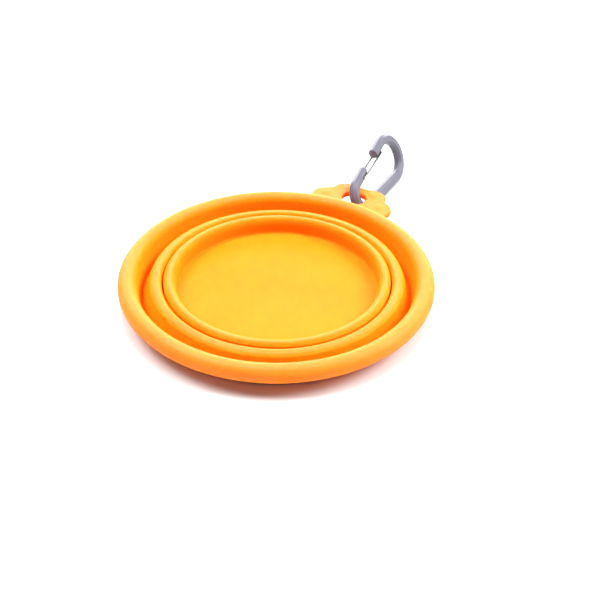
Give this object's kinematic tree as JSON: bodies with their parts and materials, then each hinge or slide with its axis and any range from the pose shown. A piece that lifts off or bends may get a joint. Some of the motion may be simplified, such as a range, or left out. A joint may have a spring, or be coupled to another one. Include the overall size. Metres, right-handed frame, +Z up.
{
  "type": "collapsible travel bowl",
  "caption": "Round soft silicone travel bowl that folds flat in rings, with a thick rolled rim, a lobed hanging tab and a snap hook with a wire gate.",
  "frame": {"origin": "centre of the base's flat underside, on the surface the bowl stands on", "axes": "+Z up out of the bowl's mouth, +Y from the bowl's axis out through the hanging tab, +X completes a right-handed frame"},
  "size_m": [0.13, 0.1874, 0.0229],
  "materials": {
    "silicone": "matte orange silicone, slightly translucent",
    "hook_plastic": "satin grey moulded plastic",
    "gate_wire": "bright drawn spring steel wire"
  },
  "bodies": {
    "base": {"base_cup": "silicone", "inner_fold": "silicone"},
    "middle": {"middle_ring": "silicone", "outer_fold": "silicone"},
    "rim": {"rim_wall": "silicone", "hanging_tab": "silicone"},
    "hook": {"hook_body": "hook_plastic"},
    "gate": {"wire_gate": "gate_wire"}
  },
  "joints": [
    {"name": "inner_fold_travel", "type": "slide", "parent": "base", "child": "middle", "axis": [0, 0, 1], "range_m": [0, 0.0185], "deforming": ["inner_fold"]},
    {"name": "outer_fold_travel", "type": "slide", "parent": "middle", "child": "rim", "axis": [0, 0, 1], "range_m": [0, 0.018], "deforming": ["outer_fold"]},
    {"name": "hook_swing", "type": "hinge", "parent": "rim", "child": "hook", "pos_m": [0.0004, 0.07865, 0.00821], "axis": [0.8988, 0, 0.4384], "range_deg": [0, 100]},
    {"name": "gate_pivot", "type": "hinge", "parent": "hook", "child": "gate", "pos_m": [-0.00236, 0.08233, 0.01386], "axis": [-0.8988, 0, -0.4384], "range_deg": [0, 28], "stiffness_Nm_per_rad": 0.05, "springref_deg": -6.88}
  ]
}
